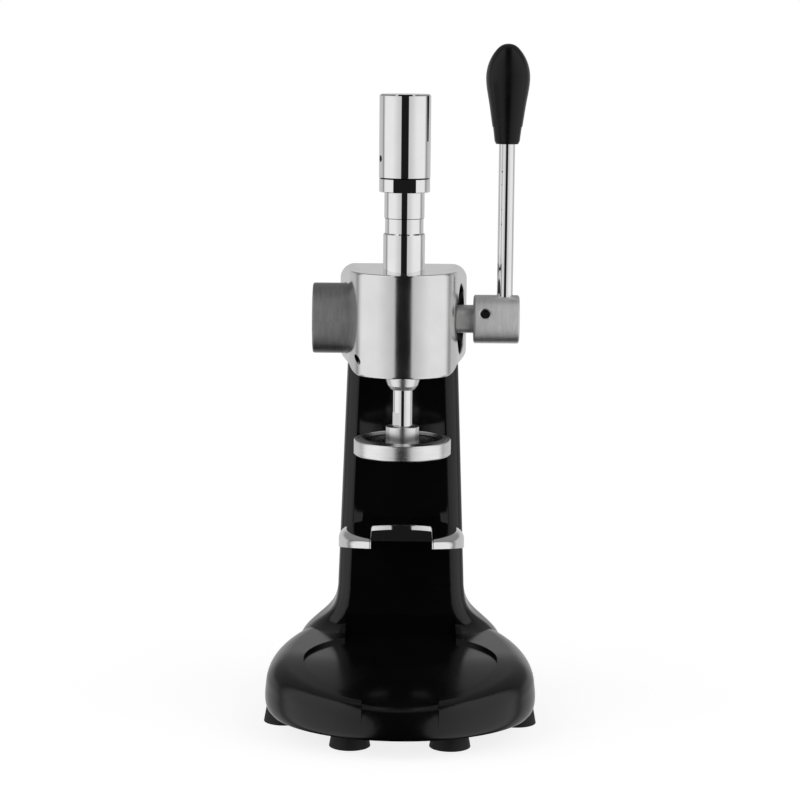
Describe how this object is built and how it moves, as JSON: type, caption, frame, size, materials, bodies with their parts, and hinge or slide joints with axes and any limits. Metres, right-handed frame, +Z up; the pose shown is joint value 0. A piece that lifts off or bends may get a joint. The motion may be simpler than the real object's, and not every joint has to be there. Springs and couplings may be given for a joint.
{
  "type": "lever coffee tamper press",
  "caption": "Manual lever press that tamps ground coffee: gloss black stand, polished head, rack plunger with round tamper, portafilter fork and side lever.",
  "frame": {"origin": "on the plane of the feet, on the tamper axis, which is midway along the base", "axes": "+Z up along the tamper axis, front of the press towards -Y, lever on the +X side"},
  "size_m": [0.163, 0.204, 0.402],
  "materials": {
    "black_gloss": "high gloss black stove enamel",
    "cover_steel": "satin black paint on sheet steel",
    "foot_rubber": "matt black rubber",
    "screw_steel": "zinc plated steel",
    "fork_chrome": "bright chrome",
    "head_alloy": "polished cast aluminium",
    "grub_black": "blackened steel",
    "brushed_steel": "turned steel with fine circular tool marks",
    "bush_bronze": "plain bronze and brass",
    "spring_steel": "bright spring steel",
    "gear_steel": "machined steel",
    "plunger_chrome": "mirror polished chrome",
    "tamper_alloy": "satin turned aluminium",
    "knob_black": "semi gloss black phenolic"
  },
  "bodies": {
    "stand": {"stand_casting": "black_gloss", "bottom_cover": "cover_steel", "feet": "foot_rubber", "foot_screws": "screw_steel", "portafilter_fork": "fork_chrome", "fork_screws": "screw_steel", "head_housing": "head_alloy", "head_screws": "screw_steel", "head_grub_screw": "grub_black", "spring_cup": "brushed_steel", "bearing_plate": "brushed_steel", "arbor_bush": "bush_bronze", "return_spring": "spring_steel", "side_cover": "brushed_steel", "stub_bush": "bush_bronze"},
    "lever": {"pinion_shaft": "brushed_steel", "pinion_key": "screw_steel", "pinion_gear": "gear_steel", "retaining_ring": "spring_steel", "lever_hub": "brushed_steel", "hub_grub_screw": "grub_black", "lever_rod": "plunger_chrome", "knob_sleeve": "bush_bronze", "knob": "knob_black"},
    "plunger": {"rack_tube": "plunger_chrome", "spring_barrel": "plunger_chrome", "pressure_spring": "spring_steel"},
    "ring": {"lock_ring": "plunger_chrome"},
    "cap": {"adjusting_cap": "plunger_chrome", "cap_grub_screw": "grub_black", "upper_spring_seat": "gear_steel"},
    "tamper": {"tamper_shaft": "plunger_chrome", "shaft_collar": "gear_steel", "tamper_boss": "plunger_chrome", "tamper_disc": "tamper_alloy"}
  },
  "joints": [
    {"name": "lever_swing", "type": "hinge", "parent": "stand", "child": "lever", "pos_m": [0, 0.02525, 0.2374], "axis": [1, 0, 0], "range_deg": [0, 125], "stiffness_Nm_per_rad": 0.35, "springref_deg": -34.38},
    {"name": "plunger_slide", "type": "slide", "parent": "stand", "child": "plunger", "axis": [0, 0, -1], "range_m": [0, 0.03555]},
    {"name": "tamper_give", "type": "slide", "parent": "plunger", "child": "tamper", "axis": [0, 0, 1], "range_m": [0, 0.006], "stiffness_N_per_m": 15000, "springref_m": -0.002, "deforming": ["pressure_spring"]},
    {"name": "ring_turn", "type": "hinge", "parent": "plunger", "child": "ring", "pos_m": [0, 0, 0.32], "axis": [0, 0, 1], "continuous": true},
    {"name": "cap_turn", "type": "hinge", "parent": "plunger", "child": "cap", "pos_m": [0, 0, 0.35], "axis": [0, 0, 1], "continuous": true}
  ],
  "couplings": [
    {"joint": "plunger_slide", "follows": "lever_swing", "m_per_rad": 0.01625}
  ]
}
